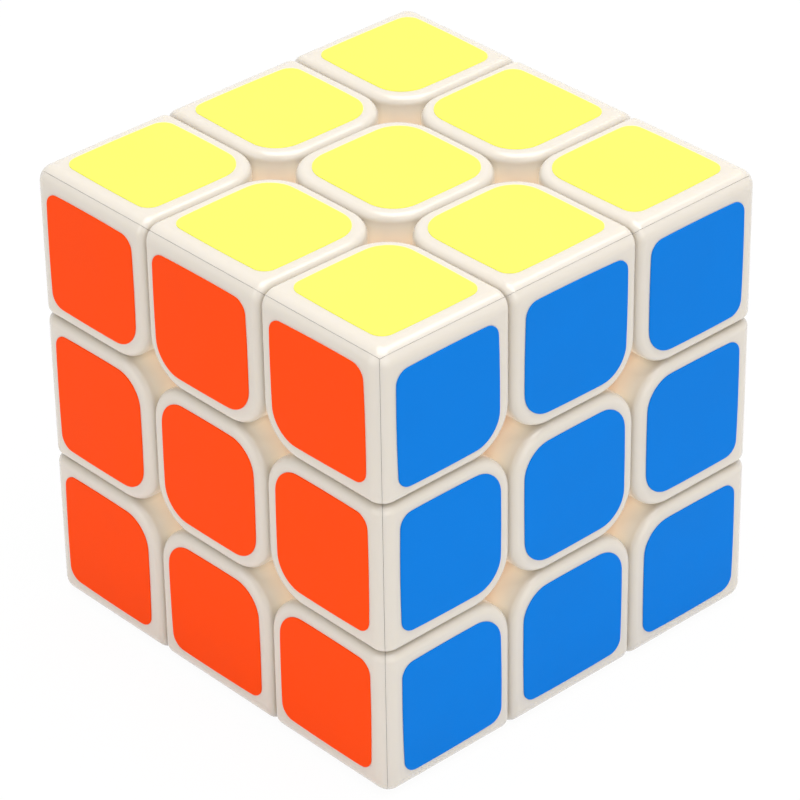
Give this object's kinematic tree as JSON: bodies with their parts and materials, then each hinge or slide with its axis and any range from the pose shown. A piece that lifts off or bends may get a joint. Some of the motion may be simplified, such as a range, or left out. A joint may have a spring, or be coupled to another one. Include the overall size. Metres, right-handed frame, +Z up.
{
  "type": "twisty puzzle cube",
  "caption": "Cube-shaped puzzle whose layers turn about a sprung inner core, with coloured square stickers on rounded pieces.",
  "frame": {"origin": "centre of the core, where the three turning axes cross", "axes": "+Z up through the upper centre, front face at -Y, right face at +X"},
  "size_m": [0.0574, 0.0574, 0.0574],
  "materials": {
    "body_plastic": "moulded, smooth, semi-gloss",
    "core_plastic": "moulded, semi-gloss",
    "screw_steel": "zinc-plated",
    "spring_steel": "drawn wire",
    "yellow_vinyl": "smooth vinyl film, satin",
    "white_vinyl": "smooth vinyl film, satin",
    "orange_vinyl": "smooth vinyl film, satin",
    "red_vinyl": "smooth vinyl film, satin",
    "blue_vinyl": "smooth vinyl film, satin",
    "green_vinyl": "smooth vinyl film, satin"
  },
  "bodies": {
    "core_frame": {"core": "core_plastic", "tension_screws": "screw_steel", "upper_spring": "spring_steel", "lower_spring": "spring_steel", "front_spring": "spring_steel", "back_spring": "spring_steel", "right_spring": "spring_steel", "left_spring": "spring_steel", "back_right_edge": "body_plastic", "back_left_edge": "body_plastic", "front_left_edge": "body_plastic", "front_right_edge": "body_plastic", "front_middle_stickers": "orange_vinyl", "right_middle_stickers": "blue_vinyl", "back_middle_stickers": "red_vinyl", "left_middle_stickers": "green_vinyl"},
    "upper_layer": {"upper_front_edge": "body_plastic", "upper_right_edge": "body_plastic", "upper_back_edge": "body_plastic", "upper_left_edge": "body_plastic", "upper_back_right_corner": "body_plastic", "upper_back_left_corner": "body_plastic", "upper_front_left_corner": "body_plastic", "upper_front_right_corner": "body_plastic", "upper_face_stickers": "yellow_vinyl", "front_upper_stickers": "orange_vinyl", "right_upper_stickers": "blue_vinyl", "back_upper_stickers": "red_vinyl", "left_upper_stickers": "green_vinyl"},
    "lower_layer": {"lower_front_edge": "body_plastic", "lower_right_edge": "body_plastic", "lower_back_edge": "body_plastic", "lower_left_edge": "body_plastic", "lower_back_right_corner": "body_plastic", "lower_back_left_corner": "body_plastic", "lower_front_left_corner": "body_plastic", "lower_front_right_corner": "body_plastic", "lower_face_stickers": "white_vinyl", "front_lower_stickers": "orange_vinyl", "right_lower_stickers": "blue_vinyl", "back_lower_stickers": "red_vinyl", "left_lower_stickers": "green_vinyl"},
    "upper_centre": {"upper_hub": "body_plastic"},
    "upper_cap": {"upper_centre_cap": "body_plastic", "upper_centre_sticker": "yellow_vinyl"},
    "lower_centre": {"lower_hub": "body_plastic"},
    "lower_cap": {"lower_centre_cap": "body_plastic", "lower_centre_sticker": "white_vinyl"},
    "front_centre": {"front_hub": "body_plastic"},
    "front_cap": {"front_centre_cap": "body_plastic", "front_centre_sticker": "orange_vinyl"},
    "back_centre": {"back_hub": "body_plastic"},
    "back_cap": {"back_centre_cap": "body_plastic", "back_centre_sticker": "red_vinyl"},
    "right_centre": {"right_hub": "body_plastic"},
    "right_cap": {"right_centre_cap": "body_plastic", "right_centre_sticker": "blue_vinyl"},
    "left_centre": {"left_hub": "body_plastic"},
    "left_cap": {"left_centre_cap": "body_plastic", "left_centre_sticker": "green_vinyl"}
  },
  "joints": [
    {"name": "upper_turn", "type": "hinge", "parent": "core_frame", "child": "upper_layer", "pos_m": [0, 0, 0], "axis": [0, 0, 1], "continuous": true},
    {"name": "lower_turn", "type": "hinge", "parent": "core_frame", "child": "lower_layer", "pos_m": [0, 0, 0], "axis": [0, 0, -1], "continuous": true},
    {"name": "upper_centre_float", "type": "slide", "parent": "upper_layer", "child": "upper_centre", "axis": [0, 0, 1], "range_m": [0, 0.0012], "stiffness_N_per_m": 800, "springref_m": -0.003, "deforming": ["upper_spring"]},
    {"name": "lower_centre_float", "type": "slide", "parent": "lower_layer", "child": "lower_centre", "axis": [0, 0, -1], "range_m": [0, 0.0012], "stiffness_N_per_m": 800, "springref_m": -0.003, "deforming": ["lower_spring"]},
    {"name": "front_centre_float", "type": "slide", "parent": "core_frame", "child": "front_centre", "axis": [0, -1, 0], "range_m": [0, 0.0012], "stiffness_N_per_m": 800, "springref_m": -0.003, "deforming": ["front_spring"]},
    {"name": "back_centre_float", "type": "slide", "parent": "core_frame", "child": "back_centre", "axis": [0, 1, 0], "range_m": [0, 0.0012], "stiffness_N_per_m": 800, "springref_m": -0.003, "deforming": ["back_spring"]},
    {"name": "right_centre_float", "type": "slide", "parent": "core_frame", "child": "right_centre", "axis": [1, 0, 0], "range_m": [0, 0.0012], "stiffness_N_per_m": 800, "springref_m": -0.003, "deforming": ["right_spring"]},
    {"name": "left_centre_float", "type": "slide", "parent": "core_frame", "child": "left_centre", "axis": [-1, 0, 0], "range_m": [0, 0.0012], "stiffness_N_per_m": 800, "springref_m": -0.003, "deforming": ["left_spring"]},
    {"name": "upper_cap_pull", "type": "slide", "parent": "upper_centre", "child": "upper_cap", "axis": [0, 0, 1], "range_m": [0, 0.015]},
    {"name": "lower_cap_pull", "type": "slide", "parent": "lower_centre", "child": "lower_cap", "axis": [0, 0, -1], "range_m": [0, 0.015]},
    {"name": "front_cap_pull", "type": "slide", "parent": "front_centre", "child": "front_cap", "axis": [0, -1, 0], "range_m": [0, 0.015]},
    {"name": "back_cap_pull", "type": "slide", "parent": "back_centre", "child": "back_cap", "axis": [0, 1, 0], "range_m": [0, 0.015]},
    {"name": "right_cap_pull", "type": "slide", "parent": "right_centre", "child": "right_cap", "axis": [1, 0, 0], "range_m": [0, 0.015]},
    {"name": "left_cap_pull", "type": "slide", "parent": "left_centre", "child": "left_cap", "axis": [-1, 0, 0], "range_m": [0, 0.015]}
  ]
}
